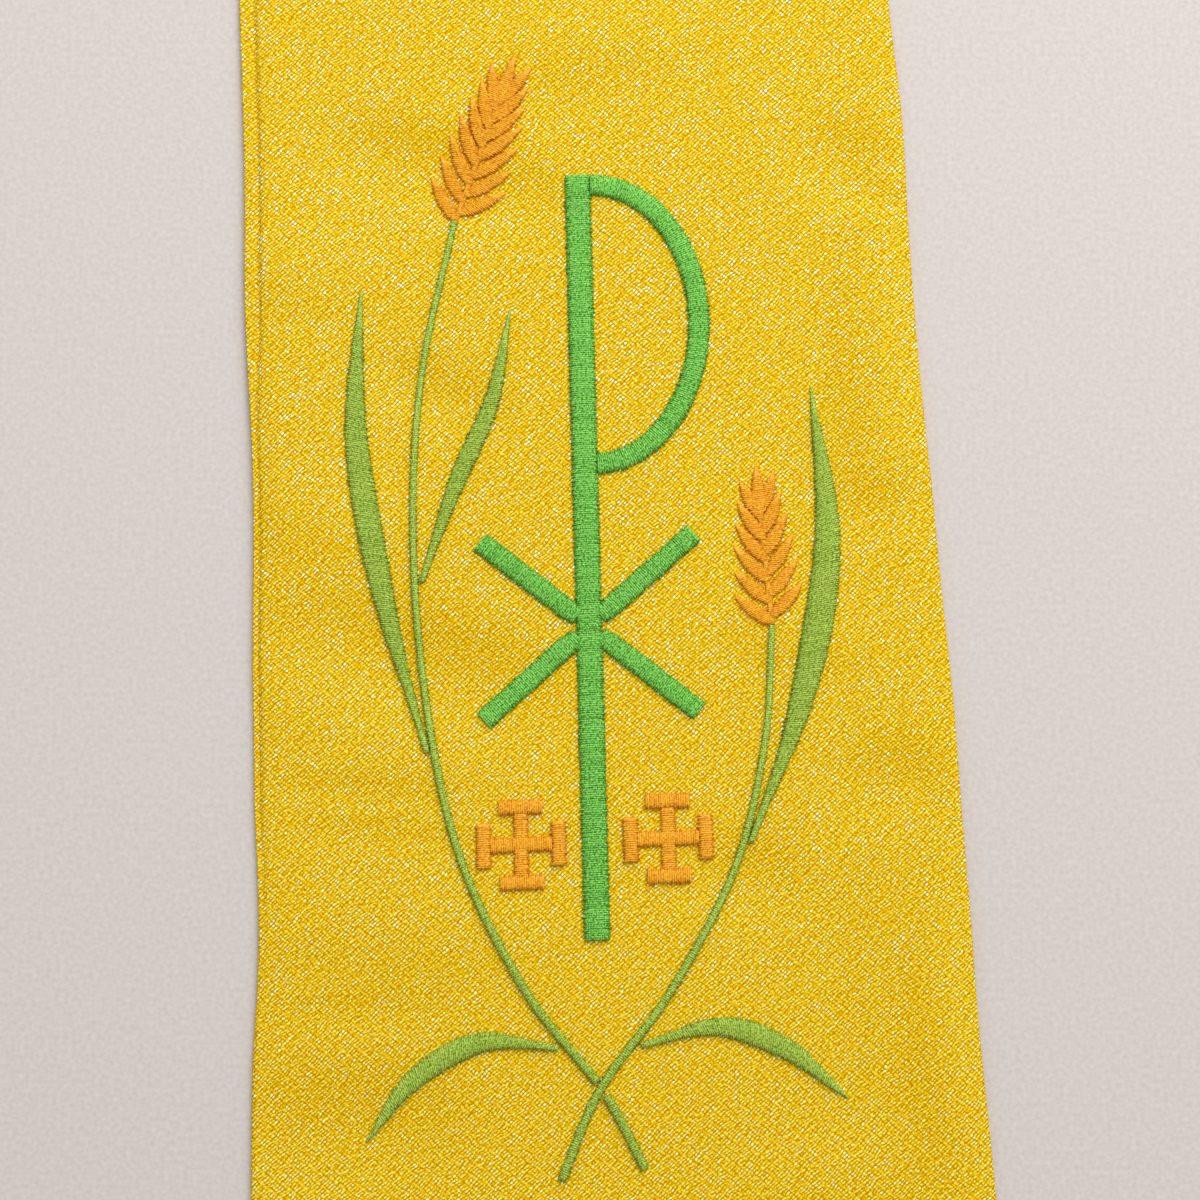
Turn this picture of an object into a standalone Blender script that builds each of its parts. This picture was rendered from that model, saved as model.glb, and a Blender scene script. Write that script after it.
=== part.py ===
"""A clerical stole laid out flat, face up, with its motif in satin stitch on both ends.

Metres, +Z up. The origin is under the middle of the whole stole, on the surface that it
lies on. +Y runs from the hems to the neck, and +X to the band on the right.
Each band is a wall of cloth through rings across its width. The rings are worked out from
the stole's cut, and soft swells lift the wall off the surface. The motif's pieces are drawn
flat, in the motif's own plan, and then laid on the band's upper face.
"""
import math
from collections import namedtuple

import bmesh
import bpy
from mathutils import Vector

MM = 0.001

# The cut of one band: a long straight part that narrows evenly, and a quarter round at the neck
STRAIGHT_LENGTH = 1130 * MM     # from the hem to the shoulder, where the neck's round begins
HEM_WIDTH = 143.5 * MM
SHOULDER_WIDTH = 92.5 * MM
BACK_WIDTH = 84 * MM            # at the seam behind the neck
HEM_INNER = 95 * MM             # from the middle of the stole to the inner edge, at the hem
NECK_RADIUS = 65 * MM           # of the inner edge round the neck
BOW_REACH = 36 * MM             # how deep into the band an edge's bow is felt
SEAM_GAP = 0.3 * MM

# The cloth: outer cloth, stiffening and backing together, with the edges turned in
WALL = 2.0 * MM
EDGE_HEIGHT = 0.9 * MM          # of the edge's roundest point over the underside
EDGE_ROLL = 1.4 * MM            # width of the roundest part
EDGE_SHOULDER = 5.0 * MM        # where the upper face has reached its full height
ROLL_HEIGHT = 1.7 * MM          # upper face over the rolled part
RING_STEP = 20 * MM
NECK_RINGS = 10
INNER_COLUMNS = 7               # columns of points between the two shoulders of the edges

# The motif: where it sits on a band, and its thread
MOTIF_FOOT = 49 * MM            # from the hem to the motif's lowest point
MOTIF_AXIS = 67.2 * MM            # from the inner edge to the motif's upright
THREAD_GAP = 0.3 * MM
STITCH_HEIGHT = 1.0 * MM
GRAIN_HEIGHT = 0.9 * MM

# The band's middle line leans towards the neck, and the hem is cut square to it, so that its
# inner corner is the stole's lowest point
CENTRE_LEAN = (HEM_INNER + HEM_WIDTH / 2 - NECK_RADIUS - SHOULDER_WIDTH / 2) / STRAIGHT_LENGTH
CORNER_DROP = CENTRE_LEAN * HEM_WIDTH / 2
HEM_Y = (CORNER_DROP - STRAIGHT_LENGTH - NECK_RADIUS - BACK_WIDTH) / 2
SHOULDER_Y = HEM_Y + STRAIGHT_LENGTH
ARC_LENGTH = (NECK_RADIUS + BACK_WIDTH / 2) * math.pi / 2

# Slight bows of the sewn edges: where the middle of each lies along the band, its length, and
# how far it shifts the edge away from the middle of the stole, in millimetres
Bow = namedtuple("Bow", "edge middle length shift")
BOWS = {
    "right": (
        Bow("inner", middle=98, length=56, shift=0.9),
        Bow("inner", middle=132, length=200, shift=1.5),
        Bow("inner", middle=190, length=86, shift=1.1),
        Bow("inner", middle=246, length=80, shift=0.7),
        Bow("inner", middle=560, length=310, shift=1.2),
        Bow("inner", middle=905, length=260, shift=0.8),
        Bow("outer", middle=74, length=56, shift=-0.35),
        Bow("outer", middle=137, length=54, shift=0.35),
        Bow("outer", middle=207, length=70, shift=-0.4),
        Bow("outer", middle=256, length=46, shift=0.6),
        Bow("outer", middle=450, length=250, shift=-0.9),
        Bow("outer", middle=780, length=280, shift=-1.1),
    ),
    "left": (
        Bow("inner", middle=86, length=120, shift=0.9),
        Bow("inner", middle=215, length=150, shift=1.3),
        Bow("inner", middle=470, length=240, shift=0.7),
        Bow("inner", middle=820, length=330, shift=1.2),
        Bow("outer", middle=120, length=110, shift=-0.5),
        Bow("outer", middle=240, length=90, shift=0.4),
        Bow("outer", middle=600, length=300, shift=-1.2),
        Bow("outer", middle=960, length=220, shift=-0.7),
    ),
}

# Soft swells of the cloth: where the middle of each lies along the band and across it (0 is
# the inner edge, 1 the outer), its length, breadth and height in millimetres, and the degrees
# that it turns from the band's length
Swell = namedtuple("Swell", "along across length breadth height turn")
SWELLS = {
    "right": (
        Swell(along=95, across=0.95, length=150, breadth=44, height=0.5, turn=6),
        Swell(along=205, across=0.06, length=190, breadth=46, height=0.6, turn=-4),
        Swell(along=392, across=0.62, length=170, breadth=88, height=0.8, turn=64),
        Swell(along=520, across=0.30, length=260, breadth=70, height=1.1, turn=-9),
        Swell(along=748, across=0.70, length=230, breadth=62, height=0.9, turn=13),
        Swell(along=905, across=0.25, length=190, breadth=74, height=1.2, turn=38),
        Swell(along=1085, across=0.72, length=210, breadth=58, height=1.1, turn=-8),
        Swell(along=1235, across=0.34, length=150, breadth=60, height=0.8, turn=20),
    ),
    "left": (
        Swell(along=70, across=0.08, length=140, breadth=42, height=0.6, turn=-8),
        Swell(along=230, across=0.94, length=170, breadth=46, height=0.7, turn=5),
        Swell(along=415, across=0.36, length=240, breadth=72, height=1.0, turn=11),
        Swell(along=610, across=0.68, length=180, breadth=80, height=1.2, turn=-52),
        Swell(along=812, across=0.34, length=270, breadth=60, height=0.9, turn=-7),
        Swell(along=1010, across=0.66, length=200, breadth=64, height=1.3, turn=24),
        Swell(along=1180, across=0.42, length=160, breadth=58, height=0.8, turn=-16),
    ),
}

GOLD = ("gold_lame", (0.82, 0.56, 0.05), 0.38, 0.55)
GREEN = ("green_thread", (0.13, 0.51, 0.09), 0.42, 0.0)
LEAF_GREEN = ("leaf_thread", (0.34, 0.46, 0.06), 0.42, 0.0)
ORANGE = ("orange_thread", (0.84, 0.37, 0.03), 0.42, 0.0)

# Plan of the motif in millimetres: the upright stands on x = 0, and y = 0 is its lowest point
UPRIGHT_WIDTH = 5.2
UPRIGHT_FOOT = 45
UPRIGHT_TOP = 197
SIDE_GAP = 0.3                  # between threads that lie side by side
BOWL_WIDTH = 4.4
BOWL_REACH = 25.5
BOWL_LOW = 136
ARM_HEIGHT = 106                # where the four arms meet
ARM_ANGLE = 40
ARM_REACH = 21
ARM_WIDTH = 4.3
ARM_ROOT_WIDTH = 3.3
ARM_ROOT_LENGTH = 2.2
STALK_WIDTH = 1.9
STALK_TOP_WIDTH = 1.3
CROSSING_HEIGHT = 17            # where the two stalks cross below the upright
POTENT_SPAN = 17.5              # of each small cross with barred ends
POTENT_WIDTH = 3.0
POTENT_BAR = 8.6
POTENT_OUT = 14.2               # from the upright to the middle of a small cross
POTENT_HEIGHT = 64

# The stalks' middle lines, from the foot up. They cross at their second point, and there the
# tall stalk, which lies below, is parted
STALKS = {
    "tall": ((8, 1.5), (0, CROSSING_HEIGHT), (-14, 36), (-26, 62), (-32, 92), (-34, 124), (-32, 156), (-25, 187)),
    "short": ((-8, 0), (0, CROSSING_HEIGHT), (14, 35), (27, 58), (33.5, 82), (35.5, 103)),
}
CROSSING_CLEAR = 2.0            # from the crossing to each end of the parted stalk

Ear = namedtuple("Ear", "name foot tip pairs")
EARS = (
    Ear(name="tall_ear", foot=(-24.6, 188.4), tip=(-11.5, 223), pairs=7),
    Ear(name="short_ear", foot=(35.7, 104.8), tip=(33.5, 137), pairs=6),
)
GRAIN_WIDTH = 3.0

# Blade leaves: the stalk that each grows from, the point of that stalk's line where it does
# (2.5 is halfway from point 2 to point 3), the side, the rest of its middle line and its widest place
Leaf = namedtuple("Leaf", "name stalk place hand points width widest")
LEAVES = (
    Leaf("tall_leaf", "tall", 3.7, -1, ((-40, 113), (-45, 145), (-43.5, 175)), width=5.4, widest=0.5),
    Leaf("inner_leaf", "tall", 4.75, 1, ((-25.5, 135), (-18, 152), (-14, 170)), width=3.8, widest=0.45),
    Leaf("short_leaf", "short", 3.2, 1, ((41, 90), (47, 121), (45, 152)), width=6.0, widest=0.5),
    Leaf("low_left_leaf", "tall", 1.5, -1, ((-23, 26.5), (-36, 20), (-45, 9)), width=4.6, widest=0.45),
    Leaf("low_right_leaf", "short", 1.5, 1, ((23, 27.5), (36, 22.5), (47, 13)), width=4.6, widest=0.5),
)


def clear_scene():
    for thing in list(bpy.data.objects):
        bpy.data.objects.remove(thing, do_unlink=True)


def thread_material(finish):
    name, colour, roughness, metallic = finish
    material = bpy.data.materials.get(name) or bpy.data.materials.new(name)
    material.use_nodes = True
    shader = material.node_tree.nodes["Principled BSDF"]
    shader.inputs["Base Color"].default_value = (*colour, 1)
    shader.inputs["Roughness"].default_value = roughness
    shader.inputs["Metallic"].default_value = metallic
    return material


def add_object(name, bm, finish):
    bmesh.ops.recalc_face_normals(bm, faces=bm.faces)
    mesh = bpy.data.meshes.new(name)
    bm.to_mesh(mesh)
    bm.free()
    mesh.shade_smooth()
    mesh.set_sharp_from_angle(angle=math.radians(50))
    thing = bpy.data.objects.new(name, mesh)
    thing.data.materials.append(thread_material(finish))
    bpy.context.scene.collection.objects.link(thing)
    return thing


def loft(sections):
    """A closed form through rings of points that all have the same count."""
    bm = bmesh.new()
    rings = [[bm.verts.new(point) for point in section] for section in sections]
    for ring, following in zip(rings, rings[1:]):
        for place in range(len(ring)):
            beside = (place + 1) % len(ring)
            bm.faces.new((ring[place], ring[beside], following[beside], following[place]))
    bm.faces.new(rings[0])
    bm.faces.new(rings[-1])
    return bm


# The band of cloth

def blend(start, end, part):
    return start + (end - start) * part


def ease(part):
    part = min(max(part, 0.0), 1.0)
    return part * part * (3 - 2 * part)


def band_width(along):
    if along <= STRAIGHT_LENGTH:
        return blend(HEM_WIDTH, SHOULDER_WIDTH, along / STRAIGHT_LENGTH)
    return blend(SHOULDER_WIDTH, BACK_WIDTH, ease((along - STRAIGHT_LENGTH) / ARC_LENGTH))


def edge_shift(side, along, out):
    """How far the bows of the two edges shift a place away from the middle of the stole."""
    from_edge = {"inner": out, "outer": band_width(along) - out}
    total = 0.0
    for bow in BOWS[side]:
        place = (along - bow.middle * MM) / (bow.length * MM / 2)
        felt = max(0.0, 1 - from_edge[bow.edge] / BOW_REACH) ** 2
        total += bow.shift * MM * max(0.0, 1 - place ** 2) ** 2 * felt
    return total


def plan(side, along, out):
    """Place on the band, before it is mirrored, for a distance along it and out from its inner edge."""
    if along <= STRAIGHT_LENGTH:
        inner_edge = blend(HEM_INNER, NECK_RADIUS, along / STRAIGHT_LENGTH)
        skew = CENTRE_LEAN * (1 - along / STRAIGHT_LENGTH) * (out - band_width(along) / 2)
        return SEAM_GAP / 2 + inner_edge + out + edge_shift(side, along, out), HEM_Y + along + skew
    turn = (along - STRAIGHT_LENGTH) / ARC_LENGTH * math.pi / 2
    radius = NECK_RADIUS + out
    return SEAM_GAP / 2 + radius * math.cos(turn), SHOULDER_Y + radius * math.sin(turn)


def rise(side, along, out):
    """Height of the cloth's underside over the surface that it lies on."""
    total = 0.0
    width = band_width(along)
    for swell in SWELLS[side]:
        ahead = along - swell.along * MM
        aside = out - swell.across * width
        turn = math.radians(swell.turn)
        lengthways = (ahead * math.cos(turn) + aside * math.sin(turn)) / (swell.length * MM / 2)
        crossways = (aside * math.cos(turn) - ahead * math.sin(turn)) / (swell.breadth * MM / 2)
        total += swell.height * MM * max(0.0, 1 - lengthways ** 2 - crossways ** 2) ** 2
    return total


def upper_face(along, out):
    """Height of the upper face over the underside: full, and lower over the rolled edges and hem."""
    from_edge = min(out, band_width(along) - out, along)
    if from_edge < EDGE_ROLL:
        return blend(EDGE_HEIGHT, ROLL_HEIGHT, from_edge / EDGE_ROLL)
    return blend(ROLL_HEIGHT, WALL, min(1.0, (from_edge - EDGE_ROLL) / (EDGE_SHOULDER - EDGE_ROLL)))


def on_band(side, along, out, height):
    x, y = plan(side, along, out)
    return Vector((x if side == "right" else -x, y, rise(side, along, out) + height))


def band_ring(side, along):
    width = band_width(along)
    inside = width - 2 * EDGE_SHOULDER
    steps = [EDGE_SHOULDER + inside * column / (INNER_COLUMNS + 1) for column in range(INNER_COLUMNS + 2)]
    across = [EDGE_ROLL] + steps + [width - EDGE_ROLL]
    below = [on_band(side, along, out, 0) for out in across]
    above = [on_band(side, along, out, upper_face(along, out)) for out in reversed(across)]
    outer_edge = on_band(side, along, width, EDGE_HEIGHT)
    return below + [outer_edge] + above + [on_band(side, along, 0, EDGE_HEIGHT)]


def make_band(side):
    straight_rings = round(STRAIGHT_LENGTH / RING_STEP)
    stations = [0, EDGE_ROLL, EDGE_SHOULDER]
    stations += [STRAIGHT_LENGTH * ring / straight_rings for ring in range(1, straight_rings)]
    stations += [STRAIGHT_LENGTH + ARC_LENGTH * ring / NECK_RINGS for ring in range(NECK_RINGS + 1)]
    add_object(f"band_{side}", loft([band_ring(side, along) for along in stations]), GOLD)


# The motif's pieces, first flat in their plan

def smooth_line(points, count, first=0.0, last=None):
    """Places along a smooth curve through the points, with the way that it runs at each."""
    points = [Vector(point) for point in points]
    ends = [2 * points[0] - points[1]] + points + [2 * points[-1] - points[-2]]
    last = len(points) - 1 if last is None else last
    line = []
    for step in range(count):
        place = blend(first, last, step / (count - 1))
        span = min(int(place), len(points) - 2)
        part = place - span
        before, start, end, after = ends[span:span + 4]
        line.append(0.5 * (2 * start + (end - before) * part
                           + (2 * before - 5 * start + 4 * end - after) * part ** 2
                           + (3 * start - before - 3 * end + after) * part ** 3))
    ways = [(line[min(step + 1, count - 1)] - line[max(step - 1, 0)]).normalized() for step in range(count)]
    return line, ways


# Half section of a satin column: out from the middle, and up
COLUMN_SECTION = ((-1.0, 0.0), (-0.92, 0.5), (-0.45, 1.0), (0.45, 1.0), (0.92, 0.5), (1.0, 0.0))
GRAIN_SECTION = ((-1.0, 0.0), (-0.7, 0.75), (0.0, 1.0), (0.7, 0.75), (1.0, 0.0))


def column(line, ways, widths, height=STITCH_HEIGHT / MM, section=COLUMN_SECTION):
    """A domed column of satin stitch along a line, with a width at each place."""
    rings = []
    for place, way, width in zip(line, ways, widths):
        aside = Vector((way.y, -way.x)) * width / 2
        rings.append([Vector((place.x + aside.x * out, place.y + aside.y * out, height * up)) for out, up in section])
    return loft(rings)


def straight_column(start, end, width, count=2):
    start, end = Vector(start), Vector(end)
    line = [start.lerp(end, step / (count - 1)) for step in range(count)]
    return column(line, [(end - start).normalized()] * count, [width] * count)


def fuse(forms):
    """One closed form from forms that pass through each other."""
    whole = add_object("whole", forms[0], ORANGE)
    for form in forms[1:]:
        piece = add_object("piece", form, ORANGE)
        union = whole.modifiers.new("union", "BOOLEAN")
        union.operation = "UNION"
        union.object = piece
        fused = bpy.data.meshes.new_from_object(whole.evaluated_get(bpy.context.evaluated_depsgraph_get()))
        whole.modifiers.remove(union)
        whole.data = fused
        bpy.data.objects.remove(piece, do_unlink=True)
    bm = bmesh.new()
    bm.from_mesh(whole.data)
    bmesh.ops.remove_doubles(bm, verts=bm.verts, dist=0.01)
    bpy.data.objects.remove(whole, do_unlink=True)
    return bm


def upright():
    return straight_column((0, UPRIGHT_FOOT), (0, UPRIGHT_TOP), UPRIGHT_WIDTH, count=8)


def bowl():
    """The round of the sign: half an ellipse from the upright's top back to its side."""
    start_x = UPRIGHT_WIDTH / 2 + SIDE_GAP
    across = BOWL_REACH - start_x - BOWL_WIDTH / 2
    upwards = (UPRIGHT_TOP - BOWL_LOW) / 2 - BOWL_WIDTH / 2
    middle_y = (UPRIGHT_TOP + BOWL_LOW) / 2
    count = 15
    line, ways = [], []
    for step in range(count):
        turn = math.pi / 2 - math.pi * step / (count - 1)
        line.append(Vector((start_x + across * math.cos(turn), middle_y + upwards * math.sin(turn))))
        ways.append(Vector((across * math.sin(turn), -upwards * math.cos(turn))).normalized())
    return column(line, ways, [BOWL_WIDTH] * count)


def arm(right, up):
    """One of four slanted arms: its root is narrow and cut along the upright."""
    slope = math.tan(math.radians(ARM_ANGLE))
    way = Vector((right, up * slope)).normalized()
    root = UPRIGHT_WIDTH / 2 + SIDE_GAP
    rings = []
    for out, width in ((root, ARM_ROOT_WIDTH), (root + ARM_ROOT_LENGTH, ARM_WIDTH), (ARM_REACH, ARM_WIDTH)):
        if out == ARM_REACH:
            aside = Vector((-way.y, way.x)) * width / 2
        else:
            aside = Vector((0, width / 2 / way.x))
        middle = Vector((right * out, ARM_HEIGHT + up * out * slope))
        rings.append([(*(middle + aside * side), high) for side, high in COLUMN_SECTION])
    return loft(rings)


def stalk_width(points, place):
    return blend(STALK_WIDTH, STALK_TOP_WIDTH, place / (len(points) - 1))


def stalk(points, count, first=0.0, last=None):
    last = len(points) - 1 if last is None else last
    line, ways = smooth_line(points, count, first, last)
    widths = [stalk_width(points, blend(first, last, step / (count - 1))) for step in range(count)]
    return column(line, ways, widths)


def parted_stalk(points):
    """The two stretches of the stalk that passes below the other."""
    below = CROSSING_CLEAR / (Vector(points[1]) - Vector(points[0])).length
    above = CROSSING_CLEAR / (Vector(points[2]) - Vector(points[1])).length
    return stalk(points, 4, last=1 - below), stalk(points, 22, first=1 + above)


def ear(shape):
    """A wheat ear: a thin stem with a grain at its tip and pairs of grains along it."""
    foot, tip = Vector(shape.foot), Vector(shape.tip)
    length = (tip - foot).length
    way = (tip - foot).normalized()
    aside = Vector((way.y, -way.x))
    grain_length = length * 0.31
    forms = [straight_column(foot, foot + way * length * 0.8, 1.2)]
    for pair in range(shape.pairs):
        share = pair / (shape.pairs - 1)
        root = foot + way * length * blend(0.02, 0.66, share)
        spread = math.radians(blend(46, 22, share))
        reach = grain_length * (1 - 0.16 * abs(share - 0.45))
        for hand in (-1, 1):
            heading = way * math.cos(spread) + aside * hand * math.sin(spread)
            forms.append(grain(root + way * hand * length * 0.02, heading, reach))
    forms.append(grain(foot + way * length * 0.68, way, grain_length))
    return fuse(forms)


def grain(root, heading, length):
    widths = [GRAIN_WIDTH * share for share in (0.3, 1.0, 0.74, 0.12)]
    line = [root + heading * length * share for share in (0, 0.36, 0.68, 1)]
    return column(line, [heading] * 4, widths, height=GRAIN_HEIGHT / MM, section=GRAIN_SECTION)


def leaf(shape):
    """A blade leaf whose root lies against the side of its stalk."""
    points = STALKS[shape.stalk]
    near, ways = smooth_line(points, 2, shape.place - 0.01, shape.place)
    root_out = (stalk_width(points, shape.place) + STALK_TOP_WIDTH) / 2 + SIDE_GAP
    root = near[-1] + Vector((ways[-1].y, -ways[-1].x)) * root_out * shape.hand
    count = 9
    line, ways = smooth_line([root, *shape.points], count)
    widths = []
    for step in range(count):
        share = step / (count - 1)
        if share < shape.widest:
            swell = ease(share / shape.widest)
            widths.append(blend(STALK_TOP_WIDTH, shape.width, swell))
        else:
            swell = math.cos(math.pi / 2 * (share - shape.widest) / (1 - shape.widest))
            widths.append(blend(0.4, shape.width, swell))
    return column(line, ways, widths)


def small_cross(middle_x):
    """A small cross with a bar across each of its four ends."""
    middle = Vector((middle_x, POTENT_HEIGHT))
    half = POTENT_SPAN / 2
    forms = []
    for way in (Vector((1, 0)), Vector((0, 1))):
        aside = Vector((way.y, way.x))
        forms.append(straight_column(middle - way * half, middle + way * half, POTENT_WIDTH))
        for end in (-1, 1):
            bar = middle + way * end * (half - POTENT_WIDTH / 2)
            forms.append(straight_column(bar - aside * POTENT_BAR / 2, bar + aside * POTENT_BAR / 2, POTENT_WIDTH))
    return fuse(forms)


def lay_on_band(side, form):
    """Lay a flat piece on the band's upper face, a thread's gap above the cloth."""
    for vert in form.verts:
        along = MOTIF_FOOT + vert.co.y * MM
        from_axis = vert.co.x * MM if side == "right" else -vert.co.x * MM
        out = MOTIF_AXIS + from_axis
        height = upper_face(along, out) + THREAD_GAP + vert.co.z * MM
        vert.co = on_band(side, along, out, height)
    return form


def make_motif(side):
    """The sign of an upright, a bowl and four arms, with two ears of wheat round it."""
    tall_stalk_low, tall_stalk = parted_stalk(STALKS["tall"])
    pieces = {
        "upright": (upright(), GREEN),
        "bowl": (bowl(), GREEN),
        "tall_stalk_low": (tall_stalk_low, LEAF_GREEN),
        "tall_stalk": (tall_stalk, LEAF_GREEN),
        "short_stalk": (stalk(STALKS["short"], 18), LEAF_GREEN),
        "cross_left": (small_cross(-POTENT_OUT), ORANGE),
        "cross_right": (small_cross(POTENT_OUT), ORANGE),
    }
    for right, right_name in ((-1, "left"), (1, "right")):
        for up, up_name in ((-1, "low"), (1, "high")):
            pieces[f"arm_{up_name}_{right_name}"] = (arm(right, up), GREEN)
    for shape in EARS:
        pieces[shape.name] = (ear(shape), ORANGE)
    for shape in LEAVES:
        pieces[shape.name] = (leaf(shape), LEAF_GREEN)
    for name, (form, finish) in pieces.items():
        add_object(f"{side}_{name}", lay_on_band(side, form), finish)


clear_scene()
for band_side in ("right", "left"):
    make_band(band_side)
    make_motif(band_side)
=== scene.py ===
"""The looks of the laid out stole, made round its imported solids."""

import math

import bpy
import numpy as np
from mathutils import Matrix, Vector


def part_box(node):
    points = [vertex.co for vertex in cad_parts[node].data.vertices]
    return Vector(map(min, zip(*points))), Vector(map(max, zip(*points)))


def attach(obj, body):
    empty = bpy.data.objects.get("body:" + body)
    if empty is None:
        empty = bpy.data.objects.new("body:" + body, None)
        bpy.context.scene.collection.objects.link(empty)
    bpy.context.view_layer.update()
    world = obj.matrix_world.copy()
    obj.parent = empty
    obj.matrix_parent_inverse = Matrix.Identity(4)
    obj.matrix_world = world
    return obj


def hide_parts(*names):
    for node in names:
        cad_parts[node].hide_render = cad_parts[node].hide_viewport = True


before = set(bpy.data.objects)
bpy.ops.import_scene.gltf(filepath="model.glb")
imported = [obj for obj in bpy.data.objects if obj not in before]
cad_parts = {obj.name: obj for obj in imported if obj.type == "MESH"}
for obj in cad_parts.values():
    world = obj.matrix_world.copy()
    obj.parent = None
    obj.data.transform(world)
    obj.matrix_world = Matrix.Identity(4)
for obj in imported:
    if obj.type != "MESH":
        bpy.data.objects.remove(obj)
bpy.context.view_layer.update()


# The view. It looks down on the lower end of the right band, from the hem's side, as over the
# edge of a table. A long lens keeps the band's edges nearly parallel.
MM = 0.001
VIEW_WIDTH = 235.3 * MM         # of the surface, across the middle of the picture
VIEW_DISTANCE = 620 * MM
VIEW_ELEVATION = 81             # degrees over the surface
VIEW_FROM_OUTER = 78.3 * MM     # from the hem's outer corner to the middle of the picture
VIEW_FROM_HEM = 164.0 * MM      # from the hem's inner corner to the middle of the picture

band_low, band_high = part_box("band_right")
view_middle = Vector((band_high.x - VIEW_FROM_OUTER, band_low.y + VIEW_FROM_HEM, 0))
elevation = math.radians(VIEW_ELEVATION)
camera_back = Vector((0, -math.cos(elevation), math.sin(elevation)))
camera_data = bpy.data.cameras.new("camera")
camera_data.lens = camera_data.sensor_width * VIEW_DISTANCE / VIEW_WIDTH
camera = bpy.data.objects.new("camera", camera_data)
camera.location = view_middle + camera_back * VIEW_DISTANCE
camera.rotation_euler = (-camera_back).to_track_quat("-Z", "Y").to_euler()
bpy.context.scene.collection.objects.link(camera)
bpy.context.scene.camera = camera


# The two bands. Each is outer cloth, stiffening and backing, sewn along its edges with the
# right sides together and turned out, so that the edges are soft rolls. The bands widen evenly
# to the hem, and meet in a short seam behind the neck. They lie flat, with soft swells.
STRAIGHT_LENGTH = 1130 * MM
HEM_WIDTH = 143.5 * MM
SHOULDER_WIDTH = 92.5 * MM
BACK_WIDTH = 84 * MM
HEM_INNER = 95 * MM             # from the stole's middle line to the inner edge, at the hem
NECK_RADIUS = 65 * MM           # of the inner edge, behind the neck
SEAM_GAP = 0.3 * MM             # between the two bands, behind the neck
BOW_REACH = 36 * MM             # how deep into the band a bow of its edge is felt
WALL = 2.0 * MM                 # of the cloth, stiffening and backing
ROLL_MIDDLE = 0.9 * MM          # height of the roundest point of a turned edge
ROLL_WIDTH = 1.5 * MM
ROLL_TOP = 1.72 * MM
EDGE_REACH = 5.5 * MM           # where the cloth has its full height
UNDER_ROLL = 0.7                # of the roll's width, in which the under face turns up
UNDER_LIFT = 0.96               # of the roll's height, so that the two faces meet in an edge
DITCH_PLACE = 2.9 * MM          # the end of the turned in cloth, which shows as a faint line
DITCH_LOW_PLACE = 1.2 * MM      # near the hem, where the line runs close to the inner edge
DITCH_TURN = 196 * MM           # along the band, where it starts to move from one to the other
DITCH_TURN_LENGTH = 24 * MM
DITCH_START = 84 * MM           # below this, the line doesn't show
DITCH_FADE = 40 * MM
DITCH_HALF = 0.62 * MM          # half of its breadth
DITCH_DEPTH = 0.6 * MM
DITCH_UNEVEN = 0.15             # of its depth
DITCH_WAVES = (23 * MM, 61 * MM)
OUTER_DITCH = 0.45              # the line by the outer edge is shallower and starts farther up
OUTER_DITCH_START = 330 * MM
OUTER_DITCH_FADE = 120 * MM
STRIP_DROP = 0.4 * MM           # the strip between the line and the inner edge lies lower
STRIP_PAST = 0.6 * MM           # how far past the line it fades out
STRIP_FADE = 0.8 * MM
STRIP_EDGE = 1.0 * MM
SEAM_DROP = 0.7 * MM            # the cloth dips into the seam behind the neck
SEAM_REACH = 2.2 * MM
TIP_SPAN = 1.0 * MM             # over which the cloth's slope is read
LIGHT_UP = 0.8                  # the light comes from the neck's side and from the right
LIGHT_RIGHT = 0.6
FACING_SHARE = 0.25             # slopes that face the light count less: the cloth gleams there
STATION_STEP = 2.6 * MM         # along the band, from one row of its skin to the next
UPPER_COLUMNS = 38              # across the flat of the upper face, and of the under face
UNDER_COLUMNS = 9
MERGE_DISTANCE = 0.002 * MM
SMOOTH_ANGLE = 60
SIDES = {"right": 1, "left": -1}

CENTRE_LEAN = (HEM_INNER + HEM_WIDTH / 2 - NECK_RADIUS - SHOULDER_WIDTH / 2) / STRAIGHT_LENGTH
HEM_Y = band_low.y + CENTRE_LEAN * HEM_WIDTH / 2
SHOULDER_Y = HEM_Y + STRAIGHT_LENGTH
ARC_LENGTH = (NECK_RADIUS + BACK_WIDTH / 2) * math.pi / 2
BAND_LENGTH = STRAIGHT_LENGTH + ARC_LENGTH

# Slight bows of the sewn edges, in millimetres: the edge, the bow's middle along the band, its
# length, and how far it shifts the edge away from the middle of the stole
BOWS = {
    "right": (
        ("inner", 98, 56, 0.9), ("inner", 132, 200, 1.5), ("inner", 190, 86, 1.1),
        ("inner", 246, 80, 0.7), ("inner", 560, 310, 1.2), ("inner", 905, 260, 0.8),
        ("outer", 74, 56, -0.35), ("outer", 137, 54, 0.35), ("outer", 207, 70, -0.4),
        ("outer", 256, 46, 0.6), ("outer", 450, 250, -0.9), ("outer", 780, 280, -1.1),
    ),
    "left": (
        ("inner", 86, 120, 0.9), ("inner", 215, 150, 1.3), ("inner", 470, 240, 0.7),
        ("inner", 820, 330, 1.2), ("outer", 120, 110, -0.5), ("outer", 240, 90, 0.4),
        ("outer", 600, 300, -1.2), ("outer", 960, 220, -0.7),
    ),
}

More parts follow.
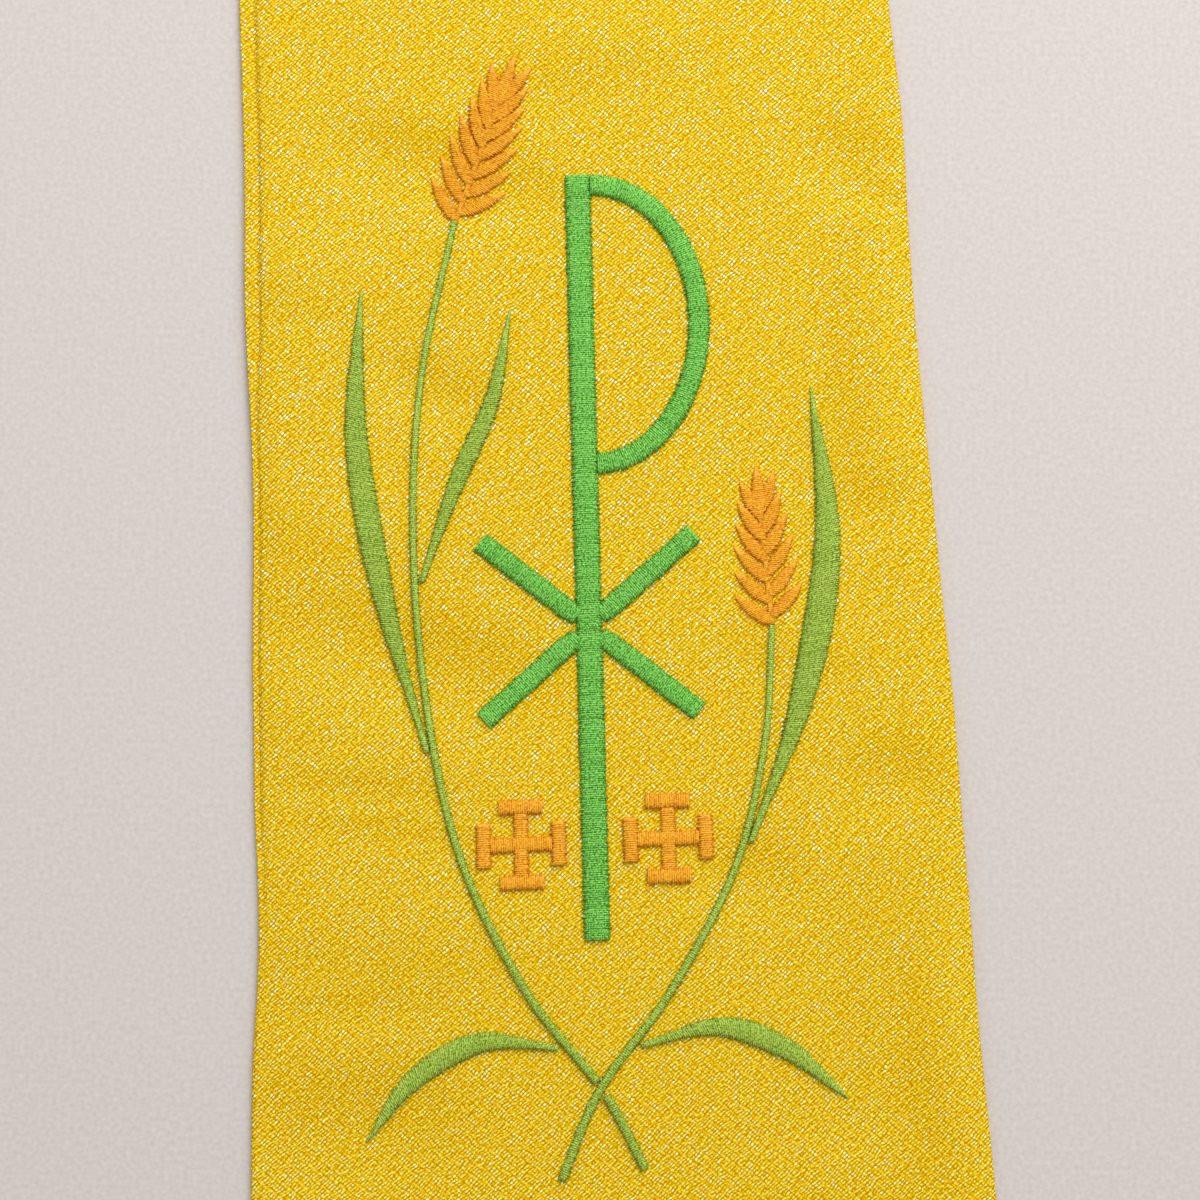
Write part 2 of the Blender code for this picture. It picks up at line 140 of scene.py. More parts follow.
# Swells of the whole wall and creases of its upper face, in millimetres and degrees: along the
# band, across it (0 is the inner edge, 1 the outer), length, breadth, height and turn
SWELLS = {
    "right": (
        (95, 0.95, 150, 44, 0.5, 6), (205, 0.06, 190, 46, 0.6, -4), (392, 0.62, 170, 88, 0.8, 64),
        (520, 0.30, 260, 70, 1.1, -9), (748, 0.70, 230, 62, 0.9, 13), (905, 0.25, 190, 74, 1.2, 38),
        (1085, 0.72, 210, 58, 1.1, -8), (1235, 0.34, 150, 60, 0.8, 20),
    ),
    "left": (
        (70, 0.08, 140, 42, 0.6, -8), (230, 0.94, 170, 46, 0.7, 5), (415, 0.36, 240, 72, 1.0, 11),
        (610, 0.68, 180, 80, 1.2, -52), (812, 0.34, 270, 60, 0.9, -7), (1010, 0.66, 200, 64, 1.3, 24),
        (1180, 0.42, 160, 58, 0.8, -16),
    ),
}
CREASES = {
    "right": (
        (58, 0.12, 36, 64, -0.90, -3), (82, 0.14, 9, 58, -0.25, 1), (98, 0.22, 26, 74, 0.35, 5),
        (116, 0.17, 9, 56, -0.30, 8), (124, 0.15, 9, 60, -0.32, 6), (148, 0.23, 32, 84, -0.95, 19),
        (178, 0.14, 24, 54, 0.40, 10), (202, 0.28, 18, 44, -0.55, 27), (228, 0.12, 24, 48, 0.40, 8),
        (246, 0.30, 26, 72, -0.85, 18), (274, 0.55, 24, 64, 0.45, -6),
        (70, 0.95, 70, 20, 0.60, 3), (46, 0.76, 26, 54, 0.50, -12), (104, 0.69, 24, 36, -0.60, 12),
        (121, 0.90, 24, 34, -0.65, -8), (152, 0.80, 20, 40, 0.35, 14), (205, 0.935, 96, 22, 0.70, 3),
        (176, 0.92, 18, 30, -0.45, -10), (239, 0.95, 9, 26, -0.30, 14), (246, 0.90, 24, 28, -0.65, 5),
        (30, 0.55, 22, 110, 0.40, 2), (324, 0.45, 28, 88, -0.70, 12), (352, 0.20, 22, 56, -0.60, -15),
        (398, 0.80, 20, 50, -0.55, 8), (455, 0.66, 26, 82, 0.65, -18), (520, 0.22, 24, 66, -0.65, 20),
        (590, 0.75, 18, 52, -0.50, -9), (640, 0.40, 30, 88, -0.85, 22), (712, 0.88, 100, 20, 0.60, -2),
        (770, 0.25, 20, 50, -0.50, 14), (842, 0.58, 26, 78, 0.65, -14), (915, 0.30, 22, 60, -0.60, 26),
        (990, 0.36, 30, 66, -0.75, 31), (1060, 0.70, 20, 54, -0.55, -16), (1150, 0.52, 24, 70, 0.55, -26),
        (1205, 0.30, 22, 58, -0.60, 12), (1262, 0.60, 18, 50, -0.40, -8),
    ),
    "left": (
        (40, 0.50, 24, 100, 0.40, -4), (74, 0.84, 30, 60, -0.80, 5), (96, 0.20, 22, 54, -0.60, 10),
        (118, 0.80, 9, 50, -0.28, -7), (146, 0.82, 28, 68, -0.85, -14), (168, 0.18, 18, 42, -0.50, 16),
        (196, 0.86, 24, 50, 0.45, 8), (232, 0.10, 84, 20, 0.60, -3), (258, 0.72, 22, 60, -0.65, -19),
        (312, 0.62, 28, 80, -0.70, -16), (366, 0.18, 20, 50, -0.55, 12), (430, 0.70, 24, 62, -0.60, -22),
        (500, 0.52, 26, 88, 0.65, 14), (566, 0.25, 18, 52, -0.50, -8), (634, 0.12, 90, 20, 0.60, 2),
        (700, 0.36, 30, 78, -0.85, -24), (780, 0.75, 22, 56, -0.55, 17), (905, 0.60, 26, 84, 0.65, 19),
        (960, 0.22, 18, 50, -0.50, -12), (1080, 0.44, 28, 70, -0.70, -10), (1150, 0.75, 20, 50, -0.55, 15),
        (1225, 0.55, 22, 60, 0.55, 21),
    ),
}


def ease(part):
    """From 0 to 1, with a soft start and end."""
    part = np.clip(part, 0, 1)
    return part * part * (3 - 2 * part)


def band_width(along):
    wide = HEM_WIDTH + (SHOULDER_WIDTH - HEM_WIDTH) * along / STRAIGHT_LENGTH
    rounded = ease((along - STRAIGHT_LENGTH) / ARC_LENGTH)
    narrow = SHOULDER_WIDTH + (BACK_WIDTH - SHOULDER_WIDTH) * rounded
    return np.where(along <= STRAIGHT_LENGTH, wide, narrow)


def edge_shift(side, along, out):
    """How far the bows of the two edges shift a place away from the middle of the stole."""
    from_edge = {"inner": out, "outer": band_width(along) - out}
    total = np.zeros(np.shape(along))
    for edge, middle, length, shift in BOWS[side]:
        place = (along - middle * MM) / (length * MM / 2)
        felt = np.clip(1 - from_edge[edge] / BOW_REACH, 0, 1) ** 2
        total = total + shift * MM * np.maximum(0, 1 - place ** 2) ** 2 * felt
    return total


def plan(side, along, out):
    """Place on the floor, for distances along a band and out from its inner edge."""
    inner_edge = HEM_INNER + (NECK_RADIUS - HEM_INNER) * along / STRAIGHT_LENGTH
    straight_x = SEAM_GAP / 2 + inner_edge + out + edge_shift(side, along, out)
    skew = CENTRE_LEAN * (1 - along / STRAIGHT_LENGTH) * (out - band_width(along) / 2)
    turn = (along - STRAIGHT_LENGTH) / ARC_LENGTH * np.pi / 2
    round_x = (SEAM_GAP / 2 + NECK_RADIUS + out) * np.cos(turn)
    round_y = SHOULDER_Y + (NECK_RADIUS + out) * np.sin(turn)
    is_straight = along <= STRAIGHT_LENGTH
    x = np.where(is_straight, straight_x, round_x)
    y = np.where(is_straight, HEM_Y + along + skew, round_y)
    return SIDES[side] * x, y


def humps(rows, along, out):
    """Height of the swells or creases of a table above, each a smooth round-topped hump."""
    total = np.zeros(np.shape(along))
    width = band_width(along)
    for middle, across, length, breadth, height, degrees in rows:
        ahead, aside = along - middle * MM, out - across * width
        turn = math.radians(degrees)
        lengthways = (ahead * math.cos(turn) + aside * math.sin(turn)) / (length * MM / 2)
        crossways = (aside * math.cos(turn) - ahead * math.sin(turn)) / (breadth * MM / 2)
        total = total + height * MM * np.maximum(0, 1 - lengthways ** 2 - crossways ** 2) ** 2
    return total


def tip(side, along, out):
    """How steeply the swells and creases tip toward the light, or, below 0, away from it."""
    def height(along, out):
        return humps(SWELLS[side], along, out) + humps(CREASES[side], along, out)
    rise_along = (height(along + TIP_SPAN, out) - height(along - TIP_SPAN, out)) / (2 * TIP_SPAN)
    rise_out = (height(along, out + TIP_SPAN) - height(along, out - TIP_SPAN)) / (2 * TIP_SPAN)
    tipped = -(rise_along * LIGHT_UP + SIDES[side] * rise_out * LIGHT_RIGHT)
    return np.where(tipped > 0, tipped * FACING_SHARE, tipped)


def quarter_round(from_edge, width):
    """Height of a rounded edge: 0 at the edge, and 1 from its width on."""
    return np.sqrt(1 - (1 - np.clip(from_edge / width, 0, 1)) ** 2)


def edge_lines(along, out):
    """Depth of the faint lines of the turned in cloth, and of the lower strip by the inner edge."""
    turned = ease((along - DITCH_TURN) / DITCH_TURN_LENGTH)
    place = DITCH_LOW_PLACE + (DITCH_PLACE - DITCH_LOW_PLACE) * turned
    shown = ease((along - DITCH_START) / DITCH_FADE)
    inner = np.exp(-(((out - place) / DITCH_HALF) ** 2)) * shown
    outer_shown = OUTER_DITCH * ease((along - OUTER_DITCH_START) / OUTER_DITCH_FADE)
    outer = np.exp(-(((band_width(along) - out - DITCH_PLACE) / DITCH_HALF) ** 2)) * outer_shown
    strip = ease((place + STRIP_PAST - out) / STRIP_FADE) * ease(out / STRIP_EDGE) * shown
    waves = np.sin(along / DITCH_WAVES[0]) * np.sin(along / DITCH_WAVES[1] + 1)
    uneven = 1 - DITCH_UNEVEN + DITCH_UNEVEN * waves
    return DITCH_DEPTH * uneven * (inner + outer) + STRIP_DROP * strip


def upper_height(side, along, out):
    """Height of a band's upper face over the floor: wall, rolled edges, swells and creases."""
    from_edge = np.minimum(np.minimum(out, band_width(along) - out), along)
    roll = ROLL_MIDDLE + (ROLL_TOP - ROLL_MIDDLE) * quarter_round(from_edge, ROLL_WIDTH)
    full = roll + (WALL - ROLL_TOP) * ease((from_edge - ROLL_WIDTH) / (EDGE_REACH - ROLL_WIDTH))
    relief = humps(CREASES[side], along, out) * ease(from_edge / EDGE_REACH)
    seam = SEAM_DROP * np.clip(1 - (BAND_LENGTH - along) / SEAM_REACH, 0, 1) ** 2
    return humps(SWELLS[side], along, out) + full + relief - edge_lines(along, out) - seam


def under_height(side, along, out):
    from_edge = np.minimum(np.minimum(out, band_width(along) - out), along)
    lift = ROLL_MIDDLE * (1 - quarter_round(from_edge, UNDER_ROLL * ROLL_WIDTH))
    return humps(SWELLS[side], along, out) + UNDER_LIFT * lift


def band_columns():
    """The ring of columns round a band: from which edge, how far from it, and on which face."""
    near = [0, 0.06, 0.2, 0.45, 0.8, 1.2, 1.6, 2.0, 2.3, 2.6, 2.9, 3.2, 3.5, 3.8, 4.3, 5.0, 6.0, 7.5]
    below = [0.06, 0.2, 0.5, 1.05]
    ring = [("inner", step, "upper") for step in near]
    ring += [("middle", number / UPPER_COLUMNS, "upper") for number in range(1, UPPER_COLUMNS)]
    ring += [("outer", step, "upper") for step in reversed(near)]
    ring += [("outer", step, "under") for step in below]
    ring += [("middle", 1 - number / UNDER_COLUMNS, "under") for number in range(UNDER_COLUMNS + 1)]
    ring += [("inner", step, "under") for step in reversed(below)]
    return ring, near[-1] * MM


def make_band(side):
    """A band's two faces and its edges as one closed skin, wrapped from a grid."""
    ring, reach = band_columns()
    by_hem = np.array([0.02, 0.1, 0.25, 0.5, 0.8, 1.2, 1.6, 2.2, 3.0, 4.0, 5.2]) * MM
    by_back = BAND_LENGTH - np.array([2.2, 1.6, 1.1, 0.7, 0.4, 0.2, 0]) * MM
    first, last = 7 * MM, BAND_LENGTH - 3 * MM
    between = np.linspace(first, last, round((BAND_LENGTH - first) / STATION_STEP))
    stations = np.concatenate([by_hem, between, by_back])
    bpy.ops.mesh.primitive_grid_add(x_subdivisions=len(ring), y_subdivisions=len(stations) - 1, size=1)
    band = bpy.context.object
    band.name = f"cloth_{side}"
    mesh = band.data
    places = np.zeros(len(mesh.vertices) * 3)
    mesh.vertices.foreach_get("co", places)
    places = places.reshape(-1, 3)
    column = np.rint((places[:, 0] + 0.5) * len(ring)).astype(int) % len(ring)
    along = stations[np.rint((places[:, 1] + 0.5) * (len(stations) - 1)).astype(int)]
    width = band_width(along)
    out = np.zeros(len(along))
    upper = np.zeros(len(along), bool)
    for number, (start, step, face) in enumerate(ring):
        here = column == number
        upper[here] = face == "upper"
        if start == "inner":
            out[here] = step * MM
        elif start == "outer":
            out[here] = width[here] - step * MM
        else:
            out[here] = reach + (width[here] - 2 * reach) * step
    x, y = plan(side, along, out)
    z = np.where(upper, upper_height(side, along, out), under_height(side, along, out))
    mesh.vertices.foreach_set("co", np.stack([x, y, z], axis=1).ravel())
    # The tip is what the gold lamé turns into painted shade and painted highlight.
    tipped = mesh.attributes.new("tip", "FLOAT", "POINT")
    tipped.data.foreach_set("value", tip(side, along, out))
    close_form(band)
    band.data.materials.append(gold_lame)
    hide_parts(f"band_{side}")
    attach(band, "root")
    return band


def close_form(piece):
    """Merge the long seam of a form that was wrapped from a grid, fill its two ends, face it out."""
    bpy.ops.object.mode_set(mode="EDIT")
    bpy.ops.mesh.select_all(action="SELECT")
    bpy.ops.mesh.remove_doubles(threshold=MERGE_DISTANCE)
    bpy.ops.mesh.select_all(action="DESELECT")
    bpy.ops.mesh.select_mode(type="EDGE")
    bpy.ops.mesh.select_non_manifold(
        extend=False, use_wire=False, use_multi_face=False, use_verts=False)
    bpy.ops.mesh.edge_face_add()
    bpy.ops.mesh.select_all(action="SELECT")
    bpy.ops.mesh.normals_make_consistent(inside=False)
    bpy.ops.object.mode_set(mode="OBJECT")
    bpy.ops.object.shade_smooth_by_angle(angle=math.radians(SMOOTH_ANGLE))


class Socket:
    """A shader socket that takes part in sums, as a number would."""

    def __init__(self, finish, socket):
        self.finish = finish
        self.socket = socket

    def math(self, operation, *others):
        sockets = dict(enumerate([self, *others]))
        return self.finish.node("ShaderNodeMath", {"operation": operation}, sockets)

    def beside(self, output):
        """Another output of the same node."""
        return Socket(self.finish, self.socket.node.outputs[output])

    def clamp(self):
        return self.finish.node("ShaderNodeClamp", sockets={"Value": self})

    def __add__(self, other):
        return self.math("ADD", other)

    def __mul__(self, other):
        return self.math("MULTIPLY", other)

    def __sub__(self, other):
        return self.math("SUBTRACT", other)

    def __truediv__(self, other):
        return self.math("DIVIDE", other)

    def __pow__(self, other):
        return self.math("POWER", other)

    def __lt__(self, other):
        return self.math("LESS_THAN", other)

    def __gt__(self, other):
        return self.math("GREATER_THAN", other)

    def __rsub__(self, other):
        return self.finish.node("ShaderNodeMath", {"operation": "SUBTRACT"}, {0: other, 1: self})

    __radd__ = __add__
    __rmul__ = __mul__


class Finish:
    """A material whose Principled shader is fed by nodes that are written as sums."""

    def __init__(self, name, **constants):
        self.material = bpy.data.materials.new(name)
        self.material.use_nodes = True
        self.nodes = self.material.node_tree.nodes
        self.shader = self.nodes["Principled BSDF"]
        for label, value in constants.items():
            self.shader.inputs[label.replace("_", " ")].default_value = value

    def node(self, kind, settings=None, sockets=None, output=0):
        made = self.nodes.new(kind)
        for name, value in (settings or {}).items():
            if name == "stops":
                ramp = made.color_ramp.elements
                for stop, (place, colour) in enumerate(value):
                    element = ramp[stop] if stop < 2 else ramp.new(place)
                    element.position = place
                    element.color = (*colour, 1)
            else:
                setattr(made, name, value)
        for name, value in (sockets or {}).items():
            self.feed(made.inputs[name], value)
        return Socket(self, made.outputs[output])

    def feed(self, socket, value):
        if isinstance(value, Socket):
            self.material.node_tree.links.new(value.socket, socket)
        else:
            socket.default_value = value

    def put(self, **fed):
        for label, value in fed.items():
            self.feed(self.shader.inputs[label.replace("_", " ")], value)

    def attribute(self, name, output):
        """What a piece's own attribute says at each place."""
        settings = {"attribute_type": "GEOMETRY", "attribute_name": name}
        return self.node("ShaderNodeAttribute", settings, output=output)

    def mix(self, share, first, second):
        """A colour between two colours, each a socket or three numbers."""
        first, second = [c if isinstance(c, Socket) else (*c, 1) for c in (first, second)]
        sockets = {0: share, 6: first, 7: second}
        return self.node("ShaderNodeMix", {"data_type": "RGBA", "clamp_factor": True}, sockets, output=2)


# Gold yellow lamé: short floats of two layers that rise to the right, cut into dashes by lines
# that fall to the right, over a wider lattice of flat metal threads. Some dashes carry a painted
# glint that glows, with painted shade on the cloth beside it. Where the cloth tips to the light it
# holds a painted highlight, and where it tips away a painted shade.
FLOAT_ANGLES = (121.5, 137.5)   # degrees of the way across the floats of the two layers
FLOAT_PITCHES = (0.54, 0.59)    # millimetres from one float to the one beside it
CUT_ANGLE = 51.7
CUT_PITCH = 0.738
METAL_ANGLES = (139.2, 44)
METAL_PITCHES = (1.17, 1.28)
SWAY = 0.9                      # how far the threads wander
SWAY_SCALE = 280
FUZZ_SCALE = 2100               # of the fine grain of the threads
CROWN_MEAN = 0.64               # of threads whose crowns reach 1
DOT_MEAN = 0.4                  # of the dots where the metal threads cross
FLOAT_TONE = (0.17, 1.11)       # the least of the first layer, and how much more by chance
OTHER_TONE = (0.62, 0.34)
DASH_FULLNESS = 0.49            # a power: below 1, a dash is full nearly to its ends
CUT_TONE = 0.445
METAL_TONE = 0.31
FUZZ_TONE = 1.4
DASH_TONE = 0.265               # from one dash to the next
CLOTH_TONE = 0.445
TIP_PAINTED_LIGHT = 1.0                 # how far the painted highlight and painted shade of the cloth's tip change its tone
GOLD_STOPS = (
    (0.0, (0.50, 0.23, 0.0)), (0.28, (0.71, 0.42, 0.0)), (0.52, (0.79, 0.485, 0.0)),
    (0.78, (0.82, 0.65, 0.06)), (1.0, (0.87, 0.83, 0.17)),
)
LEMON = (0.84, 0.78, 0.12)      # painted round a glint, as the edge of its painted highlight
LEMON_REACH = 3
# A glint is a painted highlight: its colour, and a glow that it gives off as though it were lit
GLINT = (0.83, 0.99, 0.85)
GLINT_SHINE = (0.06, 0.36, 0.46)
GLINT_ODDS = 0.74               # above which a dash glints, out of 1
GLINT_METAL = 0.13              # more odds on most dots of metal thread
METAL_ODDS = 0.39
GLINT_TIP = 0.5                 # more odds where the cloth tips to the light
GLINT_FALL = 1.9                # a power: most glints are faint
GLINT_SHADE = 0.32              # painted shade on the cloth beside a glint
GLINT_EDGE = 4                  # how sharply a glint ends at its dash's edge
LIT_HEM = 0.257                 # the painted glints fade toward the hem, as the lamp's light does, and grow farther up the band
LIT_RISE = 3.0                  # for each metre along the band
CLOTH_ROUGHNESS = 0.6
GLINT_SMOOTHNESS = 0.3
WEAVE_BUMP = 0.4
WEAVE_DEPTH = 0.1 * MM


def make_lame():
    finish = Finish("gold_lame", Specular_IOR_Level=0.0, Emission_Strength=1)
    flat = {"noise_dimensions": "2D"}
    coordinates = finish.node("ShaderNodeTexCoord", output="Object")
    sway = finish.node("ShaderNodeTexNoise", flat, {
        "Vector": coordinates, "Scale": SWAY_SCALE, "Detail": 2, "Roughness": 0.6}, output="Color")
    moved = finish.node("ShaderNodeVectorMath", {"operation": "MULTIPLY_ADD"},
                        {0: sway, 1: (SWAY * MM,) * 3, 2: coordinates})
    x = finish.node("ShaderNodeSeparateXYZ", sockets={0: moved})
    y = x.beside(1)

    def across(angle, pitch):
        """How many pitches a place is from the middle, across the threads of one direction."""
        way = math.radians(angle)
        return x * (math.cos(way) / (pitch * MM)) + y * (math.sin(way) / (pitch * MM))

    def crown(run):
        return (run.math("FRACT") * math.pi).math("SINE")

    def chances(first, second):
        """Two chances for each cell between two sets of lines."""
        corner = {0: first.math("FLOOR"), 1: second.math("FLOOR")}
        cell = finish.node("ShaderNodeCombineXYZ", sockets=corner)
        noise = finish.node("ShaderNodeTexWhiteNoise", flat, {"Vector": cell})
        parts = finish.node("ShaderNodeSeparateColor", sockets={0: noise.beside("Color")})
        return noise, parts

    floats, other_floats = [across(angle, pitch) for angle, pitch in zip(FLOAT_ANGLES, FLOAT_PITCHES)]
    cuts = across(CUT_ANGLE, CUT_PITCH)
    metal, other_metal = [across(angle, pitch) for angle, pitch in zip(METAL_ANGLES, METAL_PITCHES)]
    chance, next_chance = chances(floats, cuts)[0], chances(floats + 1, cuts)[0]
    other_chance, glint_chance = chances(other_floats, cuts)
    metal_chance = chances(metal, other_metal)[0]
    fuzz = finish.node("ShaderNodeTexNoise", flat, {
        "Vector": coordinates, "Scale": FUZZ_SCALE, "Detail": 1, "Roughness": 0.7})
    float_crown, other_crown, cut_crown = crown(floats), crown(other_floats), crown(cuts)
    dots = crown(metal) * crown(other_metal) - DOT_MEAN
    first_layer = (float_crown - CROWN_MEAN) * (chance * FLOAT_TONE[1] + FLOAT_TONE[0])
    second_layer = (other_crown - CROWN_MEAN) * (other_chance * OTHER_TONE[1] + OTHER_TONE[0])
    dashes = (first_layer + second_layer) * cut_crown ** DASH_FULLNESS
    weave = dashes + (cut_crown - CROWN_MEAN) * CUT_TONE + dots * METAL_TONE
    tipped = finish.attribute("tip", "Fac")
    odds = glint_chance + dots * GLINT_METAL * (metal_chance > METAL_ODDS) + tipped * GLINT_TIP
    shape = ((other_crown * cut_crown - 0.5) * GLINT_EDGE).clamp()
    lit = (y * LIT_RISE + (LIT_HEM - HEM_Y * LIT_RISE)).clamp()
    # Painted glints, fading toward the hem as the lamp's light does.
    glint = ((odds - GLINT_ODDS) / (1 - GLINT_ODDS)).clamp() ** GLINT_FALL * shape * lit
    shade = (odds > GLINT_ODDS) * (other_crown < 0.5) * GLINT_SHADE
    uneven = (fuzz - 0.5) * FUZZ_TONE + (chance - next_chance) * DASH_TONE
    # The cloth's tip adds painted highlight and painted shade to its tone.
    level = weave + uneven - shade + CLOTH_TONE + tipped * TIP_PAINTED_LIGHT
    yellow = finish.node("ShaderNodeValToRGB", {"stops": GOLD_STOPS}, {0: level})
    around = finish.mix(glint * LEMON_REACH, yellow, LEMON)
    bump = finish.node("ShaderNodeBump", sockets={
        "Strength": WEAVE_BUMP, "Distance": WEAVE_DEPTH, "Height": weave})
    finish.put(Base_Color=finish.mix(glint, around, GLINT),
               Roughness=CLOTH_ROUGHNESS - glint * GLINT_SMOOTHNESS, Normal=bump,
               Emission_Color=finish.mix(glint, (0, 0, 0), GLINT_SHINE))
    return finish.material


gold_lame = make_lame()
bands = {band_side: make_band(band_side) for band_side in SIDES}
sewn_on = {band_side: [] for band_side in SIDES}


# The motif on each band's end, in machine satin stitch: rayon thread laid closely to and fro
# across each column, over an underlay that domes it. The columns are drawn in the motif's own
# plan, in millimetres from the upright's middle line and up from the motif's foot.
MOTIF_FOOT = 49 * MM            # up from the hem
MOTIF_AXIS = 67.2 * MM          # out from the band's inner edge
STITCH_PITCH = 0.43             # millimetres from one thread to the next
# The section of a column, from one edge over its top to the other, as shares of half its width
# and of its height, and its flat underside
DOME = (
    (-1, 0), (-0.985, 0.28), (-0.93, 0.54), (-0.82, 0.76), (-0.6, 0.92), (-0.25, 0.99), (0.25, 0.99),
    (0.6, 0.92), (0.82, 0.76), (0.93, 0.54), (0.985, 0.28), (1, 0), (0.9, -0.15), (-0.9, -0.15),
)
STITCH_HEIGHT = 1.2
LOW_DOME = 0.25                 # the least height of a narrow column's dome, out of 1
DOME_HALF = 1.1                 # half a column's width, over which the dome gains as much again
THREAD_RELIEF = 0.08
EDGE_TOOTH = 0.12               # threads turn back by turns at one edge and at the other
EDGE_CHANCE = 0.11
EDGE_MOST = 0.24
EDGE_HALF = 1.2                 # half a column's width, below which its edges are less ragged
SUNK = 0.05                     # of the column's edge, in the cloth
END_ROUND = 0.45
END_LEAST = 0.12                # of that round, where a column starts
SEED_SPACE = 100                # stitches between two columns' places in the grain
GRAIN_ALONG = 1.05
GRAIN_ACROSS = 2.2
CROWN_MIDDLE = 0.6
CROWN_PAINTED_SHADE = 0.8                # painted shade in the gaps between threads, lighter on their crowns
THREAD_TONE = 0.3               # from one thread to the next
SHARE_TONE = 0.16               # from one end of a column to the other
# painted shade where the stitches turn down into the cloth
EDGE_PAINTED_SHADE = 0.6
EDGE_FALL = 4                   # a power: only the edge itself has the painted shade
SATIN_TONE = 0.46
SATIN_ROUGHNESS = 0.42
GRAIN_ROUGHNESS = 0.12          # more on the light grain


def thread_finish(name, deep, light, contrast=4.6):
    """Thread whose fine grain runs from a deep tone to a light one, with painted shade at a column's
    two edges, where the stitches turn down into the cloth, and in the gaps between threads. It is
    lighter along some pieces."""
    finish = Finish(name, Specular_IOR_Level=0.2, Sheen_Weight=0.03, Sheen_Roughness=0.4)
    stitch = finish.node("ShaderNodeSeparateXYZ", sockets={0: finish.attribute("stitch", "Vector")})
    across, share = stitch.beside(1), stitch.beside(2)
    edge = finish.attribute("edge", "Fac")
    chance = finish.node("ShaderNodeTexWhiteNoise", {"noise_dimensions": "1D"}, {"W": stitch.math("FLOOR")})
    places = {0: stitch * GRAIN_ALONG, 1: across * GRAIN_ACROSS}
    grain = finish.node("ShaderNodeTexNoise", {"noise_dimensions": "2D"}, {
        "Vector": finish.node("ShaderNodeCombineXYZ", sockets=places),
        "Scale": 1, "Detail": 2, "Roughness": 0.75})
    crown = (stitch.math("FRACT") * math.pi).math("SINE")
    # painted shade in the gaps between threads, lighter on their crowns
    relief = (crown - CROWN_MIDDLE) * CROWN_PAINTED_SHADE + (chance - 0.5) * THREAD_TONE
    # with painted shade at a column's two edges
    whole = share * SHARE_TONE - edge ** EDGE_FALL * EDGE_PAINTED_SHADE + SATIN_TONE
    tone = (grain - 0.5) * contrast + relief + whole
    finish.put(Base_Color=finish.mix(tone, deep, light),
               Roughness=grain * GRAIN_ROUGHNESS + SATIN_ROUGHNESS)
    return finish.material


def satin_column(side, line, widths, seed, share=(0, 1), slant=0.0, height=STITCH_HEIGHT):
    """A domed column of satin stitch along a line of points, as one closed tube on the cloth."""
    line, widths = np.array(line, float), np.array(widths, float)
    lengths = np.concatenate([[0], np.cumsum(np.hypot(*np.diff(line, axis=0).T))])
    stitches = max(2, round(lengths[-1] / STITCH_PITCH))
    rows = np.linspace(0, lengths[-1], 2 * stitches + 1)
    middle = np.stack([np.interp(rows, lengths, line[:, axis]) for axis in (0, 1)], axis=1)
    way = np.gradient(middle, axis=0)
    way /= np.hypot(*way.T)[:, None]
    half = np.interp(rows, lengths, widths) / 2
    chance = np.random.default_rng(seed)
    on_crown = np.arange(len(rows)) % 2 == 1
    turning = np.arange(len(rows)) // 2 % 2 == 0
    tooth = np.where(on_crown & np.array([turning, ~turning]), EDGE_TOOTH, -EDGE_TOOTH)
    ring = len(DOME)
    bpy.ops.mesh.primitive_grid_add(x_subdivisions=ring, y_subdivisions=len(rows) - 1, size=1)
    column = bpy.context.object
    mesh = column.data
    places = np.zeros(len(mesh.vertices) * 3)
    mesh.vertices.foreach_get("co", places)
    places = places.reshape(-1, 3)
    number = np.rint((places[:, 0] + 0.5) * ring).astype(int) % ring
    row = np.rint((places[:, 1] + 0.5) * (len(rows) - 1)).astype(int)
    out, up = np.array(DOME).T[:, number]
    uneven = chance.normal(0, EDGE_CHANCE, (2, len(rows))).clip(-EDGE_MOST, EDGE_MOST)
    edge = (out > 0).astype(int)
    ragged = (tooth[edge, row] + uneven[edge, row]) * np.minimum(1, half[row] / EDGE_HALF)
    reach = half[row] + ragged * np.abs(out)
    aside = np.stack([way[row, 1], -way[row, 0]], axis=1)
    along_way = np.clip(rows[row] + slant * out * half[row], 0, rows[-1]) - rows[row]
    flat = middle[row] + aside * (out * reach)[:, None] + way[row] * along_way[:, None]
    from_end = np.minimum(rows, rows[-1] - rows)
    end = np.sqrt(1 - (1 - np.clip(from_end / END_ROUND, END_LEAST, 1)) ** 2)
    narrow = np.minimum(1, LOW_DOME + half / DOME_HALF)
    thread = np.where(on_crown, THREAD_RELIEF, -THREAD_RELIEF) * np.minimum(1, half)
    dome = (height * narrow + thread)[row] * end[row]
    lift = up * np.where(up > 0, dome, 1) - SUNK
    along = MOTIF_FOOT + flat[:, 1] * MM
    from_inner = MOTIF_AXIS + SIDES[side] * flat[:, 0] * MM
    x, y = plan(side, along, from_inner)
    z = upper_height(side, along, from_inner) + lift * MM
    mesh.vertices.foreach_set("co", np.stack([x, y, z], axis=1).ravel())
    gradient = share[0] + (share[1] - share[0]) * rows[row] / rows[-1]
    stitch = mesh.attributes.new("stitch", "FLOAT_VECTOR", "POINT")
    read = np.stack([row / 2 + SEED_SPACE * seed, out * half[row], gradient], axis=1)
    stitch.data.foreach_set("vector", read.ravel())
    edge_share = mesh.attributes.new("edge", "FLOAT", "POINT")
    edge_share.data.foreach_set("value", np.abs(out))
    close_form(column)
    return column


def sew_on(columns, side, name, material):
    """Join columns into the piece that takes the place of one solid."""
    bpy.ops.object.select_all(action="DESELECT")
    for column in columns:
        column.select_set(True)
    bpy.context.view_layer.objects.active = columns[0]
    if len(columns) > 1:
        bpy.ops.object.join()
    piece = bpy.context.object
    piece.name = f"{side}_{name}_satin"
    piece.data.materials.append(material)
    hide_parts(f"{side}_{name}")
    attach(piece, "root")
    sewn_on[side].append(piece)


